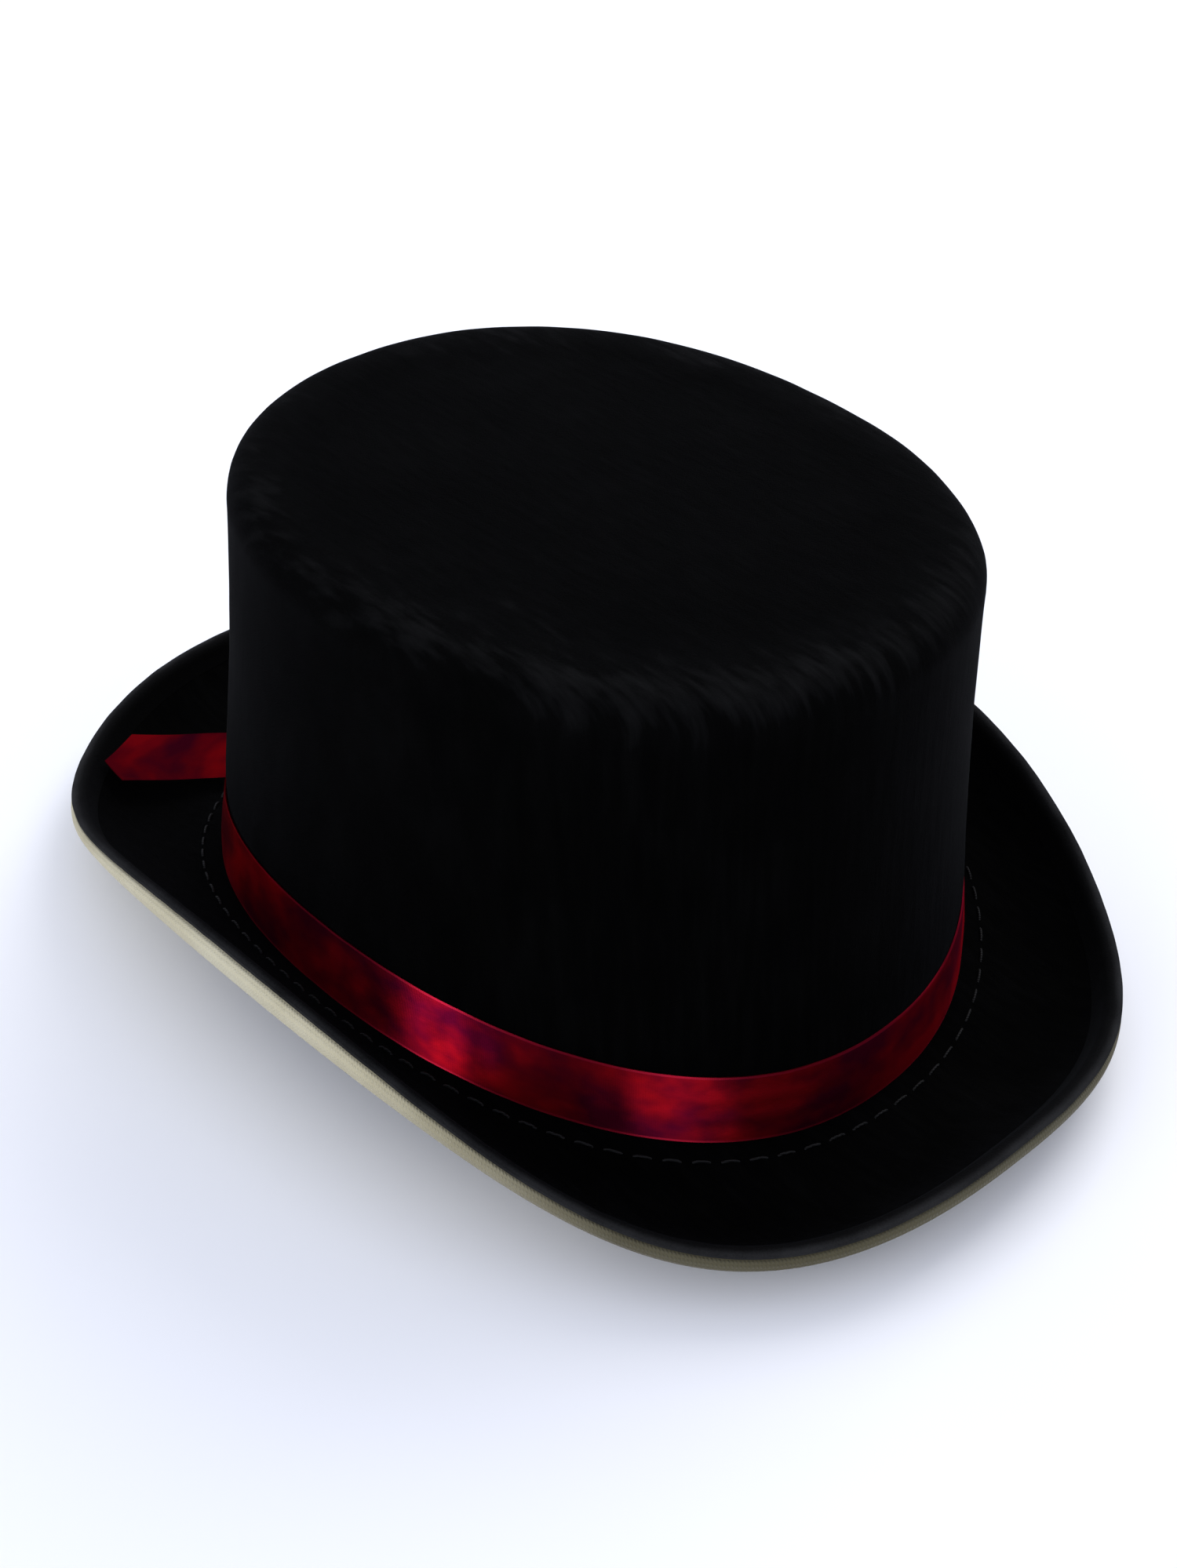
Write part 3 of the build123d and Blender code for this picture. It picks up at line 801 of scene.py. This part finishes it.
def brim_foam():
    def section(bearing):
        first, last = t_from_break(bearing, 0.3), t_from_rim(bearing, RIM_ROUND)
        top, under = CLOTH + GLUE, BRIM_TOTAL
        upper = brim_run(bearing, top, first, last, 14)
        arc = rim_arc(bearing, FOAM_ROUND, 90, -90, 12)
        lower = brim_run(bearing, under, last, first, 22)
        return upper[:-1] + arc + lower[1:]

    piece = solid_ring("brim_foam", section, "foam", 300)
    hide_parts("brim_board")


def edge_binding():
    grid = []
    for bearing in bearings(480):
        first = t_from_rim(bearing, RIM_ROUND + BINDING_REACH)
        last = t_from_rim(bearing, RIM_ROUND)
        nap = RIM_NAP + RIM_NAP_VARIES * wobble(bearing / 2.2, 0.0, 9)
        over = [brim_point(bearing, t, -nap * share)[0]
                for t, share in zip(steps(first, last, 6), steps(0, 1, 6))]
        wave = BINDING_WAVE * wobble(bearing / 5.0, 0.0, 12)
        arc = rim_arc(bearing, RIM_ROUND + nap, 90, BINDING_END + wave, 8)
        grid.append([spot(bearing, p) for p in over[:-1] + arc])
    piece = cloth_sheet("edge_binding_cloth", grid, CLOTH, "binding", wrap=True, flip=True)
    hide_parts("edge_binding")


def headsize_tape():
    def section(bearing):
        under = BRIM_TOTAL + GLUE
        turns = [t_from_break(bearing, reach) for reach in steps(OPENING_LIP - 1.5, RING_WIDTH, 5)]
        neck = break_height(bearing) - under
        radius = wall_radius(bearing, neck, CLOTH + GLUE + FOAM / 2)
        top = [(radius, neck)] + [brim_point(bearing, t, under)[0] for t in turns]
        low = [brim_point(bearing, t, under + RING_THICKNESS)[0] for t in reversed(turns)]
        return top + low + [(radius, neck - RING_THICKNESS)]

    piece = solid_ring("headsize_tape", section, "sweat_cloth", 240)
    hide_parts("headsize_ring")


# ---------------------------------------------------------------- stitches


def stitches(name, node, count, place):
    """Row of thread stitches, each a short bowed bar whose ends sink into the cloth."""
    sides, stations = 8, 7
    vertices, faces, uvs = [], [], []
    for k in range(count):
        line = []
        for m in range(stations):
            share = m / (stations - 1)
            bearing = (k + share * STITCH_DUTY) * 360 / count
            line.append(place(bearing, STITCH_SINK * (1 - sin(pi * share)) ** 2))
        first = len(vertices)
        for m, centre in enumerate(line):
            ahead = (line[min(m + 1, stations - 1)] - line[max(m - 1, 0)]).normalized()
            side = ahead.cross(Vector((0, 0, 1))).normalized()
            up = side.cross(ahead)
            for n in range(sides):
                turn = 2 * pi * n / sides
                ring = (side * cos(turn) + up * sin(turn)) * THREAD_RADIUS * MM
                vertices.append(centre + ring)
        for m in range(stations - 1):
            for n in range(sides):
                a, b = first + m * sides + n, first + m * sides + (n + 1) % sides
                faces.append([a, b, b + sides, a + sides])
                uvs += [(m * MM, n * MM / 4)] * 4
        for start in (first, first + (stations - 1) * sides):
            faces.append([start + n for n in range(sides)])
            uvs += [(0, 0)] * sides
    piece = make_piece(name, vertices, faces, uvs, "thread", "hat", sharp=60)
    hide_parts(node)


def all_stitches():
    def headline(bearing, sunk):
        t = t_from_break(bearing, HEADLINE_OFFSET)
        return spot(bearing, brim_point(bearing, t, -THREAD_RADIUS - STITCH_PROUD + sunk)[0])

    def sweat(bearing, sunk):
        inset = SWEAT_IN + SWEAT_THICKNESS + THREAD_RADIUS * 0.6 - sunk
        return spot(bearing, wall_point(bearing, SWEAT_BOTTOM + SWEAT_STITCH_UP, inset))

    stitches("headline_thread", "headline_stitches", HEADLINE_STITCHES, headline)
    stitches("sweatband_thread", "sweatband_stitches", SWEAT_STITCHES, sweat)


# ---------------------------------------------------------------- band


def band_outset(bearing, share):
    """How far the band's face stands off the wall; share runs 0 at its foot to 1 at its top."""
    middle = 4 * share * (1 - share)
    slack = 0.5 + 0.9 * wobble(bearing / 13, share * 0.7, 2) + 0.25 * wobble(bearing / 5, share, 7)
    pull = BAND_CREASE * sin(share * 21 + wobble(bearing / 9, 0, 4) * 3)
    pull *= bell(bearing % 360, CREASE_BEARING, CREASE_SPREAD)
    return BAND_OUT + middle * (slack * BAND_BULGE + pull)


def satin_band():
    grid = []
    for bearing in bearings(720):
        foot = BAND_RISE + EDGE_WANDER * wobble(bearing / 6, 0, 21)
        grid.append([spot(bearing, wall_point(bearing, foot + BAND_WIDTH * share,
                                              -band_outset(bearing, share)))
                     for share in steps(0, 1, 20)])
    piece = cloth_sheet("satin_band", grid, RIBBON, "satin", wrap=True)
    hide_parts("hat_band")
    return piece


def satin_knot():
    """Short loop of ribbon gathered upright round the band's join."""
    half = KNOT_HALF_SPAN
    grid = []
    for bearing in steps(KNOT_BEARING - half, KNOT_BEARING + half, 36):
        across = (bearing - KNOT_BEARING) / half
        full = (1 - abs(across) ** 3.5) ** 0.5 if abs(across) < 1 else 0
        column = []
        for share in steps(0, 1, 30):
            ends = (1 - abs(2 * share - 1) ** 5) ** 0.5 if 0 < share < 1 else 0
            folds = KNOT_FOLD * cos(across * 9 + 1.2 * sin(share * 4)) * ends * full
            waist = 1 - KNOT_WAIST * (1 - (2 * share - 1) ** 2)
            out = BAND_OUT + 0.3 + (KNOT_THICKNESS - 0.4 + folds) * ends * full
            height = BAND_RISE + 0.2 + (KNOT_HEIGHT - 0.6) * share
            place = KNOT_BEARING + across * half * waist
            column.append(spot(place, wall_point(place, height, -out)))
        grid.append(column)
    piece = cloth_sheet("satin_knot", grid, RIBBON, "satin")
    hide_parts("band_knot")
    return piece


def brim_height(x, y, lift):
    """Height of a surface a lift above the brim's top, over a place in mm from the middle."""
    bearing = atan2(y, x) * 180 / pi
    radius = hypot(x, y)
    controls = brim_controls(bearing)
    low, high = 0.0, 1.0
    for _ in range(24):
        t = (low + high) / 2
        if brim_point(bearing, t, -lift, controls)[0][0] < radius:
            low = t
        else:
            high = t
    return brim_point(bearing, low, -lift, controls)[0][1]


def tail_frame(side):
    fold = TAILS[side][0]
    foot = [spot(fold + d, wall_point(fold + d, 0)) for d in (-1, 0, 1)]
    tangent = (foot[2] - foot[0]).to_2d().to_3d().normalized()
    outward = Vector((tangent.y, -tangent.x, 0))
    return foot[1] + outward * FOLD_CLEARANCE * MM, outward


def satin_tail(side):
    """Ribbon from the knot, down the wall, over the fold at its foot and out over the brim."""
    fold, heading, length = TAILS[side]
    away = 1 if fold > KNOT_BEARING else -1
    root, outward = tail_frame(side)
    axis = Vector((cos(radians(heading)), sin(radians(heading)), 0))
    across = Vector((-axis.y, axis.x, 0))
    middle = Vector((MIDDLE_X, MIDDLE_Y, 0))
    columns = []
    for offset in steps(-1, 1, 16):
        shift = offset * TAIL_HALF_WIDTH
        back = -shift * across.dot(outward) / axis.dot(outward)
        side_root = root + across * shift * MM
        rel = side_root + axis * back * MM - middle
        foot_bearing = atan2(rel.y, rel.x) * 180 / pi
        top_height = LEAD_MIDDLE + LEAD_SPREAD * offset * away
        run = []
        for share in steps(0, 1, 14):
            bearing = KNOT_BEARING + away * (KNOT_HALF_SPAN - 0.8)
            bearing += (foot_bearing - bearing) * share
            height = top_height + (LEAD_FOOT - top_height) * share ** 1.15
            gather = LEAD_GATHER * (1 - share) * cos(offset * 8)
            bow = LEAD_BOW * sin(pi * share) * (0.7 + 0.3 * offset)
            out = BAND_OUT + LEAD_OUT + gather + bow
            run.append(spot(bearing, wall_point(bearing, height, -out)))
        tail_length = length - TAIL_POINT * abs(offset) + TAIL_SLANT * offset * away
        for distance in steps(back + 1.2, tail_length, 26):
            place = side_root + axis * distance * MM
            x, y = (place.x - middle.x) / MM, (place.y - middle.y) / MM
            share = (distance - back) / (length - back)
            ripple = 0.2 * sin(share * 8 + offset) + 0.3 * wobble(share * 3, offset * 1.5, fold)
            level = root.z / MM + TAIL_STAND + TAIL_RISE * share + ripple
            level += share * (TAIL_CUP * offset ** 2 - TAIL_TWIST * offset * away)
            low = brim_height(x, y, TAIL_LIFT)
            run.append(Vector((place.x, place.y, max(level, low) * MM)))
        columns.append(run)
    grid = np.array(columns).transpose(1, 0, 2)
    piece = cloth_sheet("satin_tail_" + side, grid, RIBBON, "satin", body=None)
    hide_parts("tail_" + side, "lead_" + side)
    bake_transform(piece)
    return piece


# ---------------------------------------------------------------- inside


def sweatband():
    grid = []
    for bearing in bearings(300):
        column = []
        for share in steps(0, 1, 18):
            height = SWEAT_BOTTOM + (SWEAT_TOP - SWEAT_BOTTOM) * share
            loose = SWEAT_LOOSE * share ** 2 * (0.4 + wobble(bearing / 10, share, 31))
            column.append(spot(bearing, wall_point(bearing, height, SWEAT_IN + max(0, loose))))
        grid.append(column)
    piece = cloth_sheet("sweatband_cloth", grid, SWEAT_THICKNESS, "sweat_cloth", wrap=True)
    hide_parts("sweatband")


def sweatband_join():
    grid = []
    inset = SWEAT_IN + SWEAT_THICKNESS + JOIN_GAP
    for bearing in steps(KNOT_BEARING - JOIN_HALF_SPAN, KNOT_BEARING + JOIN_HALF_SPAN, 12):
        grid.append([spot(bearing, wall_point(bearing, height, inset))
                     for height in steps(*JOIN_HEIGHTS, 14)])
    piece = cloth_sheet("sweatband_join", grid, JOIN_THICKNESS, "sweat_cloth")
    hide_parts("sweatband_tape")


# ---------------------------------------------------------------- everything

make_camera()
make_stage()
crown_velour()
crown_foams()
brim_velour()
brim_foam()
edge_binding()
headsize_tape()
all_stitches()
gloss_lamps([satin_band(), satin_knot()] + [satin_tail(side) for side in TAILS])
sweatband()
sweatband_join()
for node in ("rim_wire", "wire_sleeve"):
    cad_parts[node].data.materials.clear()
    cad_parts[node].data.materials.append(MATERIALS["steel"])
